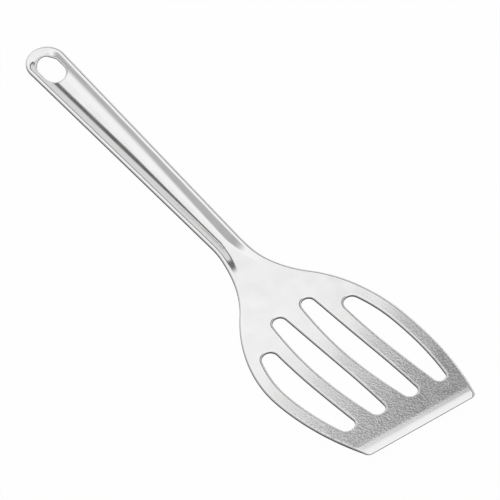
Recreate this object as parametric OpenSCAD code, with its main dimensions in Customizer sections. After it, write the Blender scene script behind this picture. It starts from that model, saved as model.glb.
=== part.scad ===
// One-piece slotted turner, pressed from a single stainless sheet.
// x runs from the end of the handle to the front edge, z = 0 is the surface it rests on.

/* [Overall] */
// Length in plan, from the end of the handle to the longer front corner
overall_length = 320; // [300:1:345]
// Thickness of the sheet
sheet_t = 1.5; // [1.2:0.1:2]

/* [Handle outline] */
// Width of the round end of the handle
handle_end_w = 22.4; // [20:0.2:25]
// Width of the handle where the neck begins
neck_w = 15.8; // [15:0.2:18]
// Distance from the end of the handle to the neck
neck_x = 163; // [150:1:175]
// Radius that flares the neck out into the blade
neck_flare_r = 58; // [45:1:65]

/* [Handle trough] */
// Height of the handle's rim over the floor of its trough
trough_depth = 2.3; // [1.6:0.1:2.4]
// Width of the flat rim on each side
rim_w = 1.6; // [1.2:0.1:2]
// Slope of the trough's walls in degrees
wall_angle = 40; // [32:1:45]
// Radius under the bend from the rim to the wall
rim_bend_r = 0.3; // [0.2:0.1:0.6]
// Radius on top of the bend from the wall to the floor
floor_bend_r = 4; // [3:0.5:4.5]
// Height that the rim drops by on its way to the blade
rim_drop = 2.4; // [2.4:0.1:3]
// Distance from the end of the handle to the start of that drop
rim_drop_x = 160; // [150:1:162]
// Length of the drop, which is an S made of two equal arcs
rim_drop_length = 27; // [24:1:34]

/* [Hang hole] */
// Length of the oval hole
hang_hole_l = 19.6; // [17:0.2:21]
// Width of the oval hole
hang_hole_w = 13.4; // [11:0.2:14]
// Metal left between the end of the handle and the hole
hang_hole_margin = 5; // [4.4:0.2:6.5]

/* [Blade outline] */
// Width of the blade at its widest
blade_w = 84.4; // [78:0.2:90]
// Distance from the end of the handle to the widest place
widest_x = 252.5; // [249:0.5:256]
// Radius of the shoulders behind the widest place
shoulder_r = 77; // [70:1:84]
// Radius of the long sides in front of it
side_r = 181; // [160:1:220]
// Slant of the front edge in degrees
front_slant = 8; // [4:0.5:11]
// Radius of the two front corners
corner_r = 3; // [2:0.5:5]

/* [Blade sweep] */
// Distance from the end of the handle to where the flat heel starts to turn up
heel_x = 223; // [216:1:228]
// Radius of the turn up
heel_r = 168; // [140:2:220]
// Angle of the turn up in degrees
heel_turn = 12.5; // [9:0.5:16]
// Radius of the longer sweep from there to the front
sweep_r = 575; // [450:5:900]

/* [Front bevel] */
// Width of the ground band along the front edge
bevel_w = 5.6; // [4:0.2:7]
// Thickness left at the front edge
edge_t = 0.6; // [0.4:0.1:0.9]

/* [Slots] */
// Distance from the middle line to the axis of an inner slot
inner_slot_y = 9.4; // [8.8:0.1:10]
// Width of an inner slot at the middle of its length
inner_slot_w = 11.4; // [10:0.2:12]
// Radius of the ends of an inner slot
inner_end_r = 3.9; // [3:0.1:4.5]
// Distance from the end of the handle to the start of the inner slots
inner_slot_x = 213.5; // [208:0.5:220]
// Strip of metal between an inner and an outer slot
strip_w = 7.4; // [6:0.2:9]
// Band of metal between an outer slot and the side of the blade
side_band = 7.2; // [6:0.2:9]
// Distance from the end of the handle to the start of the outer slots
outer_slot_x = 226.4; // [222:0.2:232]
// Metal left between the slots and the front edge, along x
front_band = 19.3; // [16:0.5:24]

/* [Hidden] */
$fn = 256;

// Largest gap between a true arc and the chords that stand for it
arc_tol = 0.01;
// Margin by which cutting shapes run past what they cut, and two heights above and below the sheet
over = 2;
deep = 30;
tall = 60;

function unit(v) = v / norm(v);
function heading(v) = atan2(v.y, v.x);
function flipped(points) = [for (i = [len(points) - 1:-1:0]) [points[i].x, -points[i].y]];

// Points along an arc of radius r, moved outwards by shift
function arc(c, r, from, to, shift = 0) =
    let (n = ceil(abs(to - from) / (2 * acos(1 - arc_tol / r))))
    [for (i = [0:n]) let (a = from + (to - from) * i / n) c + (r + shift) * [cos(a), sin(a)]];

// Handle edge: a line from the end circle's tangent through the edge of the neck
end_r = handle_end_w / 2;
end_c = [end_r, 0];
neck_edge = [neck_x, neck_w / 2];
edge_angle = heading(neck_edge - end_c) - asin(end_r / norm(neck_edge - end_c));
edge_dir = [cos(edge_angle), sin(edge_angle)];
edge_out = [-edge_dir.y, edge_dir.x];
end_tangent = end_c + end_r * edge_out;

// Shoulder and side arcs meet tangentially at the widest place
half_w = blade_w / 2;
shoulder_c = [widest_x, half_w - shoulder_r];
side_c = [widest_x, half_w - side_r];

// Neck flare: touches the handle edge and the shoulder
flare_off = neck_edge + neck_flare_r * edge_out - shoulder_c;
flare_run = -flare_off * edge_dir - sqrt(pow(flare_off * edge_dir, 2) - flare_off * flare_off
    + pow(shoulder_r + neck_flare_r, 2));
flare_c = shoulder_c + flare_off + flare_run * edge_dir;
flare_start = flare_c - neck_flare_r * edge_out;

// Front edge: its normal, and its distance from the origin along that normal
front_n = [cos(front_slant), -sin(front_slant)];
long_x = overall_length - corner_r;
long_corner_c = [long_x, side_c.y + sqrt(pow(side_r - corner_r, 2) - pow(long_x - side_c.x, 2))];
front_d = front_n * long_corner_c + corner_r;
function front_x(y) = (front_d - front_n.y * y) / front_n.x;

// Short corner, found in the mirrored half where its y is positive
short_n = [front_n.x, -front_n.y];
short_dir = [-short_n.y, short_n.x];
short_off = short_n * (front_d - corner_r) - side_c;
short_run = -short_off * short_dir + sqrt(pow(short_off * short_dir, 2) - short_off * short_off
    + pow(side_r - corner_r, 2));
short_corner_c = side_c + short_off + short_run * short_dir;

// Side view of the top surface, with z = 0 on the floor of the heel
drop_turn = 2 * atan(rim_drop / rim_drop_length);
drop_r = rim_drop_length / (2 * sin(drop_turn));
drop_end = rim_drop_x + rim_drop_length;
sweep_c = [heel_x, heel_r] + (heel_r - sweep_r) * [sin(heel_turn), -cos(heel_turn)];
sweep_end = asin((overall_length + over - sweep_c.x) / sweep_r);

// Cross-section of the trough's side, in the distance from the outline and the height
trough_floor = rim_drop - trough_depth;
crest_r = rim_bend_r + sheet_t;
wall_l = (trough_depth - (crest_r + floor_bend_r) * (1 - cos(wall_angle))) / sin(wall_angle);
crest_c = [rim_w, rim_drop - crest_r];
foot_c = [rim_w + (crest_r + floor_bend_r) * sin(wall_angle) + wall_l * cos(wall_angle),
    trough_floor + floor_bend_r];

// Everything under the sheet's top surface in side view, with that surface moved in by drop
module under_plate(drop) {
    top = concat(
        [[-over, rim_drop - drop]],
        arc([rim_drop_x, rim_drop - drop_r], drop_r, 90, 90 - drop_turn, -drop),
        arc([drop_end, drop_r], drop_r, 270 - drop_turn, 270, drop),
        arc([heel_x, heel_r], heel_r, 270, 270 + heel_turn, drop),
        arc(sweep_c, sweep_r, 270 + heel_turn, 270 + sweep_end, drop)
    );
    rotate([90, 0, 0]) linear_extrude(blade_w + 2 * over, center = true)
        polygon(concat(top, [[top[len(top) - 1].x, -deep], [-over, -deep]]));
}

// Space over one side of the trough, from its rim in to the distance reach
module trough_side(drop, reach) {
    polygon(concat(
        [[rim_w, rim_drop + over]],
        arc(crest_c, crest_r, 90, 90 - wall_angle, -drop),
        arc(foot_c, floor_bend_r, 270 - wall_angle, 270, drop),
        [[reach, trough_floor - drop], [reach, rim_drop + over]]
    ));
}

// Space over the trough, whose walls follow the end and the edge of the handle and the neck's flare
module trough_space(drop) {
    reach = end_r + over;
    translate(end_c) rotate_extrude() intersection() {
        translate([end_r, 0]) mirror([1, 0]) trough_side(drop, reach);
        translate([0, -deep]) square([end_r, tall]);
    }
    for (side = [0, 1]) mirror([0, side, 0]) {
        intersection() {
            translate(end_tangent) rotate([90, 0, 90 + edge_angle])
                linear_extrude(norm(flare_start - end_tangent) + over)
                    mirror([1, 0]) trough_side(drop, reach);
            translate([0, -rim_w / 2, -deep]) cube([overall_length, half_w, tall]);
        }
        intersection() {
            translate(flare_c) rotate([0, 0, 270 + edge_angle]) rotate_extrude(angle = 90)
                translate([neck_flare_r, 0]) trough_side(drop, half_w);
            translate([0, -rim_w / 2, -deep]) cube([drop_end, half_w, tall]);
        }
    }
}

// One side of the outline, from the end of the handle to the front corner
function edge_points(corner_c, normal) = concat(
    arc(end_c, end_r, 180, 90 + edge_angle),
    arc(flare_c, neck_flare_r, 270 + edge_angle, 360 + heading(shoulder_c - flare_c)),
    arc(shoulder_c, shoulder_r, heading(flare_c - shoulder_c), 90),
    arc(side_c, side_r, 90, heading(corner_c - side_c)),
    arc(corner_c, corner_r, heading(corner_c - side_c), heading(normal))
);

module outline() {
    polygon(concat(edge_points(long_corner_c, front_n), flipped(edge_points(short_corner_c, short_n))));
}

// Inner slot: equal round ends joined by two long arcs that bulge outwards
module inner_slot(start_x, end_x) {
    bulge = inner_slot_w / 2;
    half_l = (end_x - start_x) / 2 - inner_end_r;
    arc_r = (half_l * half_l + bulge * bulge - inner_end_r * inner_end_r) / (2 * (bulge - inner_end_r));
    turn = atan2(arc_r - bulge, half_l);
    half = concat(arc([half_l, 0], inner_end_r, 0, turn), arc([0, bulge - arc_r], arc_r, turn, 180 - turn),
        arc([-half_l, 0], inner_end_r, 180 - turn, 180));
    translate([(start_x + end_x) / 2, 0]) polygon(concat(half, flipped(half)));
}

// End circle of an outer slot: it touches the line y = inner_y, an arc about c and the slot's end,
// which is reach away from c along x
function end_fit(inner_y, reach, c, arc_r) = let (rise = inner_y - c.y, k = rise + arc_r - reach)
    sqrt(k * k - reach * reach - rise * rise + arc_r * arc_r) - k;

// Outer slot: straight on the inner side, and parallel to the side of the blade on the outer one
module outer_slot(start_x, end_x) {
    inner_y = inner_slot_y + inner_slot_w / 2 + strip_w;
    back_arc = shoulder_r - side_band;
    front_arc = side_r - side_band;
    back_r = end_fit(inner_y, widest_x - start_x, shoulder_c, back_arc);
    front_r = end_fit(inner_y, end_x - widest_x, side_c, front_arc);
    back_c = [start_x + back_r, inner_y + back_r];
    front_c = [end_x - front_r, inner_y + front_r];
    polygon(concat(
        arc(front_c, front_r, -90, heading(front_c - side_c)),
        arc(side_c, front_arc, heading(front_c - side_c), 90),
        arc(shoulder_c, back_arc, 90, heading(back_c - shoulder_c)),
        arc(back_c, back_r, heading(back_c - shoulder_c), 270)
    ));
}

module slots() {
    outer_y = (inner_slot_y + inner_slot_w / 2 + strip_w + half_w - side_band) / 2;
    for (side = [1, -1]) {
        translate([0, side * inner_slot_y])
            inner_slot(inner_slot_x, front_x(side * inner_slot_y) - front_band);
        mirror([0, (1 - side) / 2])
            outer_slot(outer_slot_x, front_x(side * outer_y) - front_band);
    }
}

module hang_hole() {
    hole_r = hang_hole_w / 2;
    straight = hang_hole_l - hang_hole_w;
    translate([hang_hole_margin + hole_r, 0]) {
        circle(hole_r);
        translate([straight, 0]) circle(hole_r);
        translate([0, -hole_r]) square([straight, hang_hole_w]);
    }
}

// Space over the ground band: a plane through the front edge that falls towards it
module front_grind() {
    mid_x = front_x(0);
    slope = asin((mid_x - sweep_c.x) / sweep_r);
    slope_slant = atan(tan(front_slant) / cos(slope));
    grind = atan((sheet_t - edge_t) / bevel_w);
    translate([mid_x, 0, sweep_c.y - sweep_r * cos(slope)])
        rotate([0, -slope, 0]) rotate([0, 0, -slope_slant])
            translate([0, 0, edge_t - sheet_t]) rotate([0, grind, 0])
                translate([-2 * bevel_w, -blade_w, 0]) cube([3 * bevel_w, 2 * blade_w, tall]);
}

module spatula_body() {
    color("silver") translate([-overall_length / 2, 0, sheet_t]) difference() {
        intersection() {
            difference() {
                under_plate(0);
                trough_space(0);
            }
            translate([0, 0, -deep / 2]) linear_extrude(tall) outline();
        }
        difference() {
            under_plate(sheet_t);
            trough_space(sheet_t);
        }
        translate([0, 0, -deep / 2]) linear_extrude(tall) {
            slots();
            hang_hole();
        }
        front_grind();
    }
}

spatula_body();
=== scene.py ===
"""A one-piece slotted turner of pressed stainless sheet, lying on a white table."""

import math

import bmesh
import bpy
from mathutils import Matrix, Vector


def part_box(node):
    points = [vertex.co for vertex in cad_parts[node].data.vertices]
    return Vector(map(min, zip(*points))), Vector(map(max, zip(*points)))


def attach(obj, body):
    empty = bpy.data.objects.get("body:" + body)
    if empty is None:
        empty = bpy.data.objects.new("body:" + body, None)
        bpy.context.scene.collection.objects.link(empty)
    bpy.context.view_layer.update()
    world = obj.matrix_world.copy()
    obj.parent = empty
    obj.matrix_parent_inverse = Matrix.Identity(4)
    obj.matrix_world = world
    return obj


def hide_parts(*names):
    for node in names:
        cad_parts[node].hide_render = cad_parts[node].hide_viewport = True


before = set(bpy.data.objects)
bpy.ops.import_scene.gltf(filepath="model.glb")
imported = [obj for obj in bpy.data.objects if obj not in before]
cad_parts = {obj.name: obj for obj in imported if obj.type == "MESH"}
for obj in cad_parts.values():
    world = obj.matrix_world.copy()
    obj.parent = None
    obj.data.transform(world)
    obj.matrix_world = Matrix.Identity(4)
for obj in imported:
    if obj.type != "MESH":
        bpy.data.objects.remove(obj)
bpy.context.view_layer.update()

# The blank: one sheet of stainless steel that a press cuts to the tool's flat outline, from a round
# handle end through the neck's flare, the shoulders and the long sides to a slanted front edge.
# It is drawn in millimetres, with x from the end of the handle.
MM = 0.001
low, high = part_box("spatula_body")
overall_length = (high.x - low.x) / MM
half_w = high.y / MM
sheet_t = 1.5
end_r = 11.2
neck_edge = Vector((163, 7.9))
neck_flare_r = 58
shoulder_r = 77
widest_x = 252.5
side_r = 181
front_slant = math.radians(8)
corner_r = 3
chord, fine_chord, fewest_chords = 0.9, 0.35, 4


def tangent_run(off, along, reach, sign):
    """How far along the line through off a point lies reach away from the origin."""
    dot = off.dot(along)
    return -dot + sign * math.sqrt(dot * dot - off.length_squared + reach * reach)


def start_line(bm, point):
    return bm.verts.new((point.x, point.y, 0))


def line_to(bm, vert, point):
    """Carries the line on from vert straight to point."""
    start = vert.co.xy
    steps = max(1, math.ceil((point - start).length / chord))
    for step in range(1, steps + 1):
        at = start.lerp(point, step / steps)
        vert = bmesh.ops.extrude_vert_indiv(bm, verts=[vert])["verts"][0]
        vert.co = (at.x, at.y, 0)
    return vert


def arc_to(bm, vert, centre, point, step):
    """Carries the line on from vert round centre to point, the short way."""
    start, end = vert.co.xy - centre, point - centre
    turn = -start.angle_signed(end)
    steps = max(fewest_chords, math.ceil(abs(turn) * start.length / step))
    last = bmesh.ops.spin(bm, geom=[vert], cent=(centre.x, centre.y, 0), axis=(0, 0, 1),
                          angle=turn, steps=steps)["geom_last"]
    return next(g for g in last if isinstance(g, bmesh.types.BMVert))


def carry_to(bm, vert, centre, point, step):
    """Carries the line on to point, straight where there is no centre."""
    return arc_to(bm, vert, centre, point, step) if centre else line_to(bm, vert, point)


def touch(large_c, small_c, small_r):
    """Where the small arc runs into the large one that it touches from inside."""
    return small_c + small_r * (small_c - large_c).normalized()


def mirrored(point):
    return point and Vector((point.x, -point.y))


end_c = Vector((end_r, 0))
reach = neck_edge - end_c
edge_angle = math.atan2(reach.y, reach.x) - math.asin(end_r / reach.length)
edge_dir = Vector((math.cos(edge_angle), math.sin(edge_angle)))
edge_out = Vector((-edge_dir.y, edge_dir.x))
end_tangent = end_c + end_r * edge_out
shoulder_c = Vector((widest_x, half_w - shoulder_r))
side_c = Vector((widest_x, half_w - side_r))
flare_off = neck_edge + neck_flare_r * edge_out - shoulder_c
flare_run = tangent_run(flare_off, edge_dir, shoulder_r + neck_flare_r, -1)
flare_c = shoulder_c + flare_off + edge_dir * flare_run
flare_start = flare_c - neck_flare_r * edge_out
flare_end = shoulder_c + shoulder_r * (flare_c - shoulder_c).normalized()
front_n = Vector((math.cos(front_slant), -math.sin(front_slant)))
long_x = overall_length - corner_r
long_rise = math.sqrt((side_r - corner_r) ** 2 - (long_x - side_c.x) ** 2)
long_c = Vector((long_x, side_c.y + long_rise))
front_d = front_n.dot(long_c) + corner_r
short_n = Vector((front_n.x, -front_n.y))
short_dir = Vector((-short_n.y, short_n.x))
short_off = short_n * (front_d - corner_r) - side_c
short_run = tangent_run(short_off, short_dir, side_r - corner_r, 1)
short_c = side_c + short_off + short_dir * short_run


def half_outline(corner_c, normal):
    """Centre and end of each arc or line, from the handle's tip to the front corner."""
    return [(end_c, end_tangent), (None, flare_start), (flare_c, flare_end),
            (shoulder_c, Vector((widest_x, half_w))), (side_c, touch(side_c, corner_c, corner_r)),
            (corner_c, corner_c + corner_r * normal)]


def close_line(bm, first, last):
    bmesh.ops.pointmerge(bm, verts=[first, last], merge_co=first.co)


blank = bmesh.new()
tip = Vector((0, 0))
first = vert = start_line(blank, tip)
for centre, point in half_outline(long_c, front_n):
    step = fine_chord if centre in (end_c, long_c) else chord
    vert = carry_to(blank, vert, centre, point, step)
other_half = [(mirrored(c), mirrored(p)) for c, p in half_outline(short_c, short_n)]
vert = line_to(blank, vert, other_half[-1][1])
starts = [tip] + [point for _, point in other_half[:-1]]
for (centre, _), point in zip(other_half[::-1], starts[::-1]):
    step = fine_chord if centre in (mirrored(end_c), mirrored(short_c)) else chord
    vert = carry_to(blank, vert, centre, point, step)
close_line(blank, first, vert)

# The hang hole and the four slots, pierced through the blank. The inner slots have equal round ends
# and two bulging sides; the outer ones are straight inside and follow the blade's side outside.
hang_hole_l, hang_hole_w, hang_hole_margin = 17.5, 12.5, 6.5
inner_slot_y, inner_slot_w, inner_end_r, inner_slot_x = 9.4, 11.4, 3.9, 213.5
outer_slot_x, strip_w, side_band, front_band = 226.4, 7.4, 7.2, 19.3


def front_x(y):
    """Where the slanted front edge lies at y."""
    return (front_d - front_n.y * y) / front_n.x


def opening(bm, moves):
    """A closed line through (centre, point) moves, which starts at the last point."""
    first = vert = start_line(bm, moves[-1][1])
    for centre, point in moves:
        vert = carry_to(bm, vert, centre, point, fine_chord)
    close_line(bm, first, vert)


def hang_hole(bm):
    r = hang_hole_w / 2
    near = Vector((hang_hole_margin + r, 0))
    far = near + Vector((hang_hole_l - hang_hole_w, 0))
    up = Vector((0, r))
    along = Vector((r, 0))
    opening(bm, [(far, far + along), (far, far + up), (None, near + up), (near, near - along),
                 (near, near - up), (None, far - up)])


def inner_slot(bm, y):
    end_x = front_x(y) - front_band
    r, bulge = inner_end_r, inner_slot_w / 2
    half_l = (end_x - inner_slot_x) / 2 - r
    arc_r = (half_l ** 2 + bulge ** 2 - r ** 2) / (2 * (bulge - r))
    mid = Vector(((inner_slot_x + end_x) / 2, y))
    over, under = mid + Vector((0, bulge - arc_r)), mid - Vector((0, bulge - arc_r))
    right, left = mid + Vector((half_l, 0)), mid - Vector((half_l, 0))
    top, bottom = mid + Vector((0, bulge)), mid - Vector((0, bulge))
    along = Vector((r, 0))
    opening(bm, [(right, right + along), (right, touch(over, right, r)), (over, top),
                 (over, touch(over, left, r)), (left, left - along), (left, touch(under, left, r)),
                 (under, bottom), (under, touch(under, right, r))])


def end_fit(inner_y, reach, centre, arc_r):
    """Radius of the slot end that touches the straight side, the end line and the outer arc."""
    rise = inner_y - centre.y
    slack = rise + arc_r - reach
    return math.sqrt(slack * slack - reach * reach - rise * rise + arc_r * arc_r) - slack


def outer_slot(bm, side):
    inner_y = inner_slot_y + inner_slot_w / 2 + strip_w
    mid_y = (inner_y + half_w - side_band) / 2
    end_x = front_x(side * mid_y) - front_band
    back_arc, front_arc = shoulder_r - side_band, side_r - side_band
    back_r = end_fit(inner_y, widest_x - outer_slot_x, shoulder_c, back_arc)
    front_r = end_fit(inner_y, end_x - widest_x, side_c, front_arc)
    back_c = Vector((outer_slot_x + back_r, inner_y + back_r))
    front_c = Vector((end_x - front_r, inner_y + front_r))
    back_touch = shoulder_c + back_arc * (back_c - shoulder_c).normalized()
    front_touch = side_c + front_arc * (front_c - side_c).normalized()
    moves = [(front_c, front_c + Vector((front_r, 0))), (front_c, front_touch),
             (side_c, Vector((widest_x, half_w - side_band))), (shoulder_c, back_touch),
             (back_c, back_c - Vector((back_r, 0))), (back_c, back_c - Vector((0, back_r))),
             (None, front_c - Vector((0, front_r)))]
    if side < 0:
        moves = [(mirrored(c), mirrored(p)) for c, p in moves]
    opening(bm, moves)


hang_hole(blank)
for side in (1, -1):
    inner_slot(blank, side * inner_slot_y)
    outer_slot(blank, side)
bmesh.ops.triangle_fill(blank, use_beauty=True, edges=blank.edges[:])

# The edges are tumbled round: each rim of the blank gets a run of narrow inset rings, which carry
# their distance in from the edge and the way outwards, and a grid covers the rest. Its cuts lie
# closest where the sheet bends most: at the round end, across the handle, at the neck and at the lip.
edge_w, top_round, under_round = 1.25, 0.48, 0.18
ring_count, ring_growth, guard_w = 6, 1.2, 0.4
round_end_x, round_end_step = 22, 0.6
rim_drop_span, rim_drop_step = (158, 186), 1.0
plain_step, first_cut_x = 3.0, 2.0
blade_x, handle_reach, handle_step, blade_reach, blade_step = 188, 12, 0.45, 40, 5.0
lip_cuts = [1.6 + 0.5 * count for count in range(13)] + [8.2]
inset_of = blank.verts.layers.float.new("inset")
outward_of = blank.verts.layers.float_vector.new("outward")
for vert in blank.verts:
    out = Vector((0, 0, 0))
    for edge in vert.link_edges:
        if edge.is_boundary:
            along = (edge.verts[1].co - edge.verts[0].co).normalized()
            across = Vector((along.y, -along.x, 0))
            face_mid = edge.link_faces[0].calc_center_median()
            out += across if across.dot(face_mid - edge.verts[0].co) < 0 else -across
    vert[outward_of] = out.normalized()
inner = blank.faces[:]
inset = 0
for ring in range(1, ring_count + 2):
    wanted = edge_w * (ring / ring_count) ** ring_growth if ring <= ring_count else edge_w + guard_w
    bmesh.ops.inset_region(blank, faces=inner, use_boundary=True, use_even_offset=True,
                           thickness=wanted - inset)
    inset = wanted
    for vert in {v for f in inner for v in f.verts}:
        vert[inset_of] = inset


def cut(faces, place, normal):
    """Cuts the faces along the line through place that normal stands on."""
    geom = list(dict.fromkeys(g for f in faces for g in (f, *f.edges, *f.verts)))
    made = bmesh.ops.bisect_plane(blank, geom=geom, dist=1e-4, plane_co=place, plane_no=normal)
    return [g for g in made["geom"] if isinstance(g, bmesh.types.BMFace)]


def cut_lengthwise(faces, reach, step):
    """Cuts the faces into strips along the tool, step wide."""
    y = -reach
    while y <= reach:
        faces = cut(faces, (0, y, 0), (0, 1, 0))
        y += step
    return faces


def step_at(x):
    """Distance from the cut across the tool at x to the next one."""
    if x < round_end_x:
        return round_end_step
    return rim_drop_step if rim_drop_span[0] < x < rim_drop_span[1] else plain_step


grid = inner
x = first_cut_x
while x < overall_length:
    grid = cut(grid, (x, 0, 0), (1, 0, 0))
    x += step_at(x)
handle = [f for f in grid if f.calc_center_median().x < blade_x]
blade = [f for f in grid if f.calc_center_median().x >= blade_x]
handle = cut_lengthwise(handle, handle_reach, handle_step)
blade = cut_lengthwise(blade, blade_reach, blade_step)
for inside in lip_cuts:
    blade = cut(blade, (front_n * (front_d - inside)).to_3d(), front_n.to_3d())
for vert in {v for f in handle + blade for v in f.verts}:
    vert[inset_of] = inset
bmesh.ops.triangulate(blank, faces=blank.faces[:], quad_method="BEAUTY", ngon_method="BEAUTY")
raised = bmesh.ops.extrude_face_region(blank, geom=blank.faces[:] + blank.edges[:],
                                       use_keep_orig=True)["geom"]
top_verts = [g for g in raised if isinstance(g, bmesh.types.BMVert)]
bmesh.ops.translate(blank, vec=(0, 0, sheet_t), verts=top_verts)
bmesh.ops.recalc_face_normals(blank, faces=blank.faces[:])

# The press tool: a trough in the handle whose rim drops to the heel, then an upward sweep to the
# front, whose edge is ground thin on top. The trough's floor is a soft hollow that tightens towards
# the neck, and it starts with a straight wall across the round end.
trough_depth, rim_w, wall_angle, crest_r = 2.3, 1.6, math.radians(28), 1.8
floor_half_w, neck_floor_half_w, widest_bend_r, tightest_bend_r = 0.5, 0.95, 11, 2.6
widening_x, widening_length = 90, 50
trough_x, start_corner_r = 5.3, 5.0
rim_drop, rim_drop_x, rim_drop_length, run_out_pull = 2.4, 160, 22, 0.65
heel_x, heel_r, heel_turn, sweep_r = 223, 168, math.radians(12.5), 575
lip_x, lip_slope, lip_blend = 7.2, math.tan(math.radians(3.6)), 1.2
edge_x, edge_slope, edge_blend, thinnest_t = 3.7, math.tan(math.radians(11)), 1.1, 0.3
round_power, most_rounding, lean_run = 1.4, 0.42, 20
drop_turn = 2 * math.atan(rim_drop / rim_drop_length)
drop_r = rim_drop_length / (2 * math.sin(drop_turn))
drop_end = rim_drop_x + rim_drop_length
heel_end = Vector((math.sin(heel_turn), -math.cos(heel_turn)))
sweep_c = Vector((heel_x, heel_r)) + (heel_r - sweep_r) * heel_end
trough_floor = rim_drop - trough_depth
handle_run = (flare_start - end_tangent).length
start_corner_x = trough_x + start_corner_r
start_corner_in = rim_w + start_corner_r + (start_corner_x - end_tangent.x) * edge_out.x
start_corner = Vector((start_corner_x, end_tangent.y - start_corner_in / edge_out.y))


def side_height(x, drop):
    """Height of the sheet seen from the side, drop below its top surface."""
    if x < rim_drop_x:
        return rim_drop - drop
    if x < rim_drop_x + (drop_r - drop) * math.sin(drop_turn):
        return rim_drop - drop_r + math.sqrt((drop_r - drop) ** 2 - (x - rim_drop_x) ** 2)
    if x < drop_end:
        return drop_r - math.sqrt((drop_r + drop) ** 2 - (x - drop_end) ** 2)
    if x < heel_x:
        return -drop
    if x < heel_x + (heel_r + drop) * math.sin(heel_turn):
        return heel_r - math.sqrt((heel_r + drop) ** 2 - (x - heel_x) ** 2)
    return sweep_c.y - math.sqrt((sweep_r + drop) ** 2 - (x - sweep_c.x) ** 2)


def trough_place(x, y):
    """Distance in from the handle's edge, and the distance at which the trough's middle lies.

    At the trough's start the distance is counted from its straight wall instead.
    """
    point = Vector((x, abs(y)))
    along = min(max((point - end_tangent).dot(edge_dir), 0), handle_run)
    widened = min(max((x - widening_x) / widening_length, 0), 1)
    widening = (neck_floor_half_w - floor_half_w) * widened
    middle = (end_tangent.y + along * edge_dir.y) / edge_out.y - widening
    if x < start_corner.x:
        if point.y < start_corner.y:
            return x - trough_x + rim_w, middle
        return rim_w + start_corner_r - (point - start_corner).length, middle
    if along < handle_run:
        return -(point - end_tangent).dot(edge_out), middle
    return (point - flare_c).length - neck_flare_r, middle


def trough_height(inward, middle, drop):
    """Height of the trough's own surface, with its rim as high as on the handle."""
    wall = Vector((math.sin(wall_angle), math.cos(wall_angle)))
    room = middle - floor_half_w - rim_w - trough_depth / math.tan(wall_angle)
    fitting_bend_r = room / math.tan(wall_angle / 2) - crest_r
    bend_r = min(trough_depth / (1 - wall.y) - crest_r, widest_bend_r,
                 max(tightest_bend_r, fitting_bend_r))
    wall_l = (trough_depth - (crest_r + bend_r) * (1 - wall.y)) / wall.x
    crest_c = Vector((rim_w, rim_drop - crest_r))
    foot_c = Vector((rim_w + (crest_r + bend_r) * wall.x + wall_l * wall.y, trough_floor + bend_r))
    top = crest_c + (crest_r - drop) * wall
    foot = foot_c - (bend_r + drop) * wall
    if inward < crest_c.x:
        return rim_drop - drop
    if inward < top.x:
        return crest_c.y + math.sqrt((crest_r - drop) ** 2 - (inward - crest_c.x) ** 2)
    if inward < foot.x:
        return top.y + (foot.y - top.y) * (inward - top.x) / (foot.x - top.x)
    if inward < foot_c.x:
        return foot_c.y - math.sqrt((bend_r + drop) ** 2 - (foot_c.x - inward) ** 2)
    return trough_floor - drop


def ramp_up(value, blend):
    """Zero below zero and value above it, with a soft start."""
    return max(value, 0) if abs(value) > blend else (value + blend) ** 2 / (4 * blend)


def grind_depth(x, y):
    """How much the front band has been ground away from the top, more steeply at the very edge."""
    inside = front_d - (x * front_n.x + y * front_n.y)
    band = lip_slope * ramp_up(lip_x - inside, lip_blend)
    edge = edge_slope * ramp_up(edge_x - inside, edge_blend)
    return min(band + edge, sheet_t - thinnest_t)


def height(x, y, drop):
    """Height of the pressed and ground sheet, drop below its top surface."""
    z = side_height(x, drop)
    if x < drop_end:
        inward, middle = trough_place(x, y)
        run_out = max(x - rim_drop_x, 0) / rim_drop_length
        pulled = inward + max(inward - rim_w, 0) * run_out_pull * run_out
        trough = trough_height(pulled, middle, drop)
        if run_out == 0:
            z = min(z, trough)
        else:  # the trough flattens out as its rim comes down to the heel
            base = trough_floor * (1 - run_out * run_out * (3 - 2 * run_out)) - drop
            z = base + (z - base) * (trough - trough_floor + drop) / trough_depth
    return z if drop else z - grind_depth(x, y)


def surface_normal(x, y, drop, step=0.02):
    """Which way the surface faces, from its slope along and across the tool."""
    dx = (height(x + step, y, drop) - height(x - step, y, drop)) / (2 * step)
    dy = (height(x, y + step, drop) - height(x, y - step, drop)) / (2 * step)
    return Vector((-dx, -dy, 1)).normalized()


# Each point's share of the rounding is 1 at the sheared wall and 0 where the rounded edge ends.
normals = []
for vert in blank.verts:
    x, y, z = vert.co
    drop = 0 if z > 0 else sheet_t
    up = surface_normal(x, y, drop)
    share = max(1 - vert[inset_of] / edge_w, 0)
    cosine = share ** round_power
    sine = math.sqrt(1 - cosine * cosine)
    edge_round = min(under_round if drop else top_round, most_rounding * (sheet_t - grind_depth(x, y)))
    rounding = edge_round * (1 - math.sqrt(1 - share * share))
    sign = -1 if drop else 1
    if drop and x < rim_drop_x:  # the handle was pierced flat, so its cut walls lean with the sheet
        lean = min((rim_drop_x - x) / lean_run, 1) * sheet_t
        flat_up = surface_normal(x, y, 0)
        x, y = x - lean * flat_up.x, y - lean * flat_up.y
        vert.co.xy = x, y
    vert.co.z = height(x, y, drop) - sign * rounding + sheet_t
    normals.append((cosine * Vector(vert[outward_of]) + sign * sine * up).normalized())
bmesh.ops.translate(blank, vec=(-overall_length / 2, 0, 0), verts=blank.verts[:])
bmesh.ops.scale(blank, vec=(MM, MM, MM), verts=blank.verts[:])
mesh = bpy.data.meshes.new("turner_sheet")
blank.to_mesh(mesh)
blank.free()
mesh.shade_smooth()
mesh.normals_split_custom_set_from_vertices(normals)
turner = bpy.data.objects.new("turner_sheet", mesh)
bpy.context.scene.collection.objects.link(turner)

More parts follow.
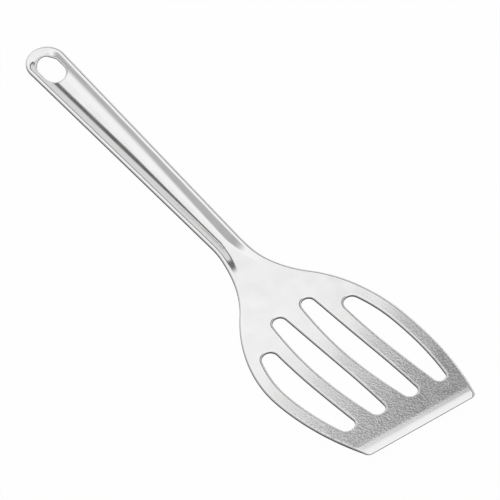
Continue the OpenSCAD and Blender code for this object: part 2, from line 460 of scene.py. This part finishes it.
# Satin stainless steel: a fine mottle in tone and relief that grows towards the used front and fades
# on the ground lip, a cloudy gloss, faint polishing lines along the tool, and on the walls that the
# press sheared a duller gloss under a near-black painted shade, which stands in for the shaded table
# that those walls reflect.
grain = bpy.data.node_groups.new("satin_sheet", "ShaderNodeTree")
face = grain.interface
face.new_socket("Inset", in_out="INPUT", socket_type="NodeSocketFloat")
face.new_socket("Color", in_out="OUTPUT", socket_type="NodeSocketColor")
face.new_socket("Roughness", in_out="OUTPUT", socket_type="NodeSocketFloat")
face.new_socket("Normal", in_out="OUTPUT", socket_type="NodeSocketVector")
nodes, links = grain.nodes, grain.links
entry, leave = nodes.new("NodeGroupInput"), nodes.new("NodeGroupOutput")
place = nodes.new("ShaderNodeTexCoord")


def noise(scale, detail, stretch=(1, 1, 1)):
    spread = nodes.new("ShaderNodeMapping")
    spread.inputs["Scale"].default_value = stretch
    links.new(place.outputs["Object"], spread.inputs["Vector"])
    texture = nodes.new("ShaderNodeTexNoise")
    texture.inputs["Scale"].default_value = scale
    texture.inputs["Detail"].default_value = detail
    links.new(spread.outputs["Vector"], texture.inputs["Vector"])
    return texture.outputs["Fac"]


def spread_over(value, low_in, high_in, low_out, high_out):
    """Turns the range of value into another one, and holds it at both ends."""
    span = nodes.new("ShaderNodeMapRange")
    ends = {"From Min": low_in, "From Max": high_in, "To Min": low_out, "To Max": high_out}
    for name, amount in ends.items():
        span.inputs[name].default_value = amount
    links.new(value, span.inputs["Value"])
    return span.outputs["Result"]


def feed(socket, given):
    """Sets the socket to a constant, or links it to another node's output."""
    if isinstance(given, (tuple, float)):
        socket.default_value = given
    else:
        links.new(given, socket)


def blend(mask, first, second, kind="FLOAT"):
    """Gives first where the mask is 0 and second where it is 1."""
    mix = nodes.new("ShaderNodeMix")
    mix.data_type = kind
    links.new(mask, mix.inputs["Factor"])
    sockets = [socket for socket in mix.inputs if socket.enabled and socket.name in ("A", "B")]
    for socket, given in zip(sockets, (first, second)):
        feed(socket, given)
    return next(socket for socket in mix.outputs if socket.enabled)


def maths(kind, first, second):
    node = nodes.new("ShaderNodeMath")
    node.operation = kind
    for socket, given in zip(node.inputs, (first, second)):
        feed(socket, given)
    return node.outputs[0]


def raised_by(value, depth, below=None):
    """Lays a relief of value, depth metres deep, over the one below."""
    relief = nodes.new("ShaderNodeBump")
    relief.inputs["Strength"].default_value = 1.0
    relief.inputs["Distance"].default_value = depth
    links.new(value, relief.inputs["Height"])
    if below:
        links.new(below, relief.inputs["Normal"])
    return relief.outputs["Normal"]


bright_steel, dull_steel = (0.86, 0.86, 0.857, 1.0), (0.62, 0.62, 0.62, 1.0)
# Painted shade: a near-black colour for the sheared walls, standing in for the shaded table beneath the
# sheet that they reflect.
painted_wall_shade = (0.05, 0.05, 0.051, 1.0)
mottle_depth, line_depth = 6.0e-5, 2.0e-6
grain_start_x, grain_full_x, handle_grain = 0.07, 0.13, 0.2
lip_clear, lip_full, lip_grain = 0.0075, 0.005, 0.15
mottle = noise(1000, 2)
cloud = noise(90, 3)
polish = noise(2600, 2, (0.06, 1, 1))
# Mask of the sheared walls, for their real duller gloss and for their painted shade.
sheared_gloss_and_shade = spread_over(entry.outputs["Inset"], 0.06, 0.3, 1.0, 0.0)
worn = spread_over(entry.outputs["Inset"], 0.3, 1.4, 1.0, 0.0)
along = nodes.new("ShaderNodeSeparateXYZ")
links.new(place.outputs["Object"], along.inputs[0])
used = spread_over(along.outputs["X"], grain_start_x, grain_full_x, handle_grain, 1.0)
forward = nodes.new("ShaderNodeVectorMath")
forward.operation = "DOT_PRODUCT"
forward.inputs[1].default_value = front_n.to_3d()
links.new(place.outputs["Object"], forward.inputs[0])
front_line = (front_d - front_n.x * overall_length / 2) * MM
unground = spread_over(forward.outputs["Value"], front_line - lip_clear, front_line - lip_full,
                       1.0, lip_grain)
pebbled = maths("MULTIPLY", mottle, maths("MULTIPLY", used, unground))
tone = blend(spread_over(pebbled, 0.4, 0.6, 0.0, 1.0), bright_steel, dull_steel, "RGBA")
gloss = blend(worn, spread_over(cloud, 0.3, 0.7, 0.13, 0.2), 0.1)
# The sheared walls take the painted near-black shade in colour and their real duller gloss in
# roughness.
links.new(blend(sheared_gloss_and_shade, tone, painted_wall_shade, "RGBA"), leave.inputs["Color"])
links.new(blend(sheared_gloss_and_shade, gloss, 0.5), leave.inputs["Roughness"])
links.new(raised_by(polish, line_depth, raised_by(pebbled, mottle_depth)), leave.inputs["Normal"])

steel = bpy.data.materials.new("satin_steel")
steel.use_nodes = True
nodes, links = steel.node_tree.nodes, steel.node_tree.links
shader = nodes["Principled BSDF"]
shader.inputs["Metallic"].default_value = 1.0
surface = nodes.new("ShaderNodeGroup")
surface.node_tree = grain
inset_in = nodes.new("ShaderNodeAttribute")
inset_in.attribute_name = "inset"
links.new(inset_in.outputs["Fac"], surface.inputs["Inset"])
for put_out, taken in (("Color", "Base Color"), ("Roughness", "Roughness"), ("Normal", "Normal")):
    links.new(surface.outputs[put_out], shader.inputs[taken])
turner.data.materials.append(steel)
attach(turner, "root")
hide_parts("spatula_body")

# The table: a wide white sheet that the turner lies on. To the camera and in the steel it is nearly
# plain white, with a trace of shadow, and it sends the tent's light back up to the underside.
table_half_w, table_white = 3, 0.97
sheet = bmesh.new()
bmesh.ops.create_grid(sheet, x_segments=1, y_segments=1, size=table_half_w)
mesh = bpy.data.meshes.new("table")
sheet.to_mesh(mesh)
sheet.free()
table = bpy.data.objects.new("table", mesh)
bpy.context.scene.collection.objects.link(table)
white = bpy.data.materials.new("white_table")
white.use_nodes = True
nodes, links = white.node_tree.nodes, white.node_tree.links
nodes.clear()
out = nodes.new("ShaderNodeOutputMaterial")
diffuse = nodes.new("ShaderNodeBsdfDiffuse")
diffuse.inputs["Color"].default_value = (0.9, 0.9, 0.9, 1)
glow = nodes.new("ShaderNodeEmission")
path = nodes.new("ShaderNodeLightPath")
mix = nodes.new("ShaderNodeMixShader")
seen = maths("MAXIMUM", path.outputs["Is Camera Ray"], path.outputs["Is Glossy Ray"])
seen = maths("MAXIMUM", seen, path.outputs["Is Transmission Ray"])
links.new(maths("MULTIPLY", seen, table_white), mix.inputs["Fac"])
links.new(diffuse.outputs[0], mix.inputs[1])
links.new(glow.outputs[0], mix.inputs[2])
links.new(mix.outputs[0], out.inputs["Surface"])
table.data.materials.append(white)

# The light: a tent with a bright soft roof that dims towards the handle and the near side. A dark
# curtain hangs on its far side, above a pale band that runs round the foot and rises towards the blade.
world = bpy.data.worlds.new("tent")
bpy.context.scene.world = world
world.use_nodes = True
nodes, links = world.node_tree.nodes, world.node_tree.links
background = nodes["Background"]
where = nodes.new("ShaderNodeTexCoord")
split = nodes.new("ShaderNodeSeparateXYZ")
links.new(where.outputs["Generated"], split.inputs[0])
lowest_rise, curtain_slant, foot_slant, pale_level = 0.02, 0.133, -0.33, 0.78
rise = maths("MAXIMUM", split.outputs["Z"], lowest_rise)
over_x = maths("DIVIDE", split.outputs["X"], rise)
over_y = maths("DIVIDE", split.outputs["Y"], rise)
lengthwise = spread_over(over_x, -1.5, -0.55, 0.9, 1.05)
sideways = spread_over(over_y, -0.66, -0.22, 0.43, 1.0)
roof = maths("MULTIPLY", lengthwise, sideways)
curtain = spread_over(split.outputs["X"], -0.85, -0.5, 0.24, 0.13)
curtain_line = maths("ADD", over_y, maths("MULTIPLY", over_x, curtain_slant))
beyond = spread_over(curtain_line, 0.42, 0.57, 0.0, 1.0)
foot = maths("ADD", split.outputs["Z"], maths("MULTIPLY", split.outputs["X"], foot_slant))
pale = spread_over(foot, 0.60, 0.69, 1.0, 0.0)
level = blend(pale, blend(beyond, roof, curtain), pale_level)
path = nodes.new("ShaderNodeLightPath")
shown = blend(path.outputs["Is Camera Ray"], level, (1.0, 1.0, 1.0, 1.0), "RGBA")
links.new(shown, background.inputs["Color"])

# The camera: far off and long, at the photograph's angle, with the middle of the tool where the
# photograph has it.
focal_px, frame_px = 3000, 500
azimuth, elevation = math.radians(50.4964), math.radians(55.4515)
anchor_px, anchor_x = Vector((222.6613, 242.4599)), 160
anchor = Vector(((anchor_x - overall_length / 2) * MM, 0, sheet_t / 2 * MM))
distance = 1.5411815
back_dir = Vector((math.sin(azimuth) * math.cos(elevation), -math.cos(azimuth) * math.cos(elevation),
                   math.sin(elevation)))
right = Vector((math.cos(azimuth), math.sin(azimuth), 0))
up = back_dir.cross(right)
centre_px = frame_px / 2
offset = (anchor_px.x - centre_px) / focal_px * right - (anchor_px.y - centre_px) / focal_px * up
data = bpy.data.cameras.new("camera")
data.sensor_width = 36
data.lens = focal_px / frame_px * data.sensor_width
data.clip_start, data.clip_end = 0.1, 20
camera = bpy.data.objects.new("camera", data)
bpy.context.scene.collection.objects.link(camera)
camera.location = anchor + distance * back_dir - distance * offset
camera.rotation_euler = back_dir.to_track_quat("Z", "Y").to_euler()
bpy.context.scene.camera = camera
bpy.context.scene.view_settings.view_transform = "Standard"
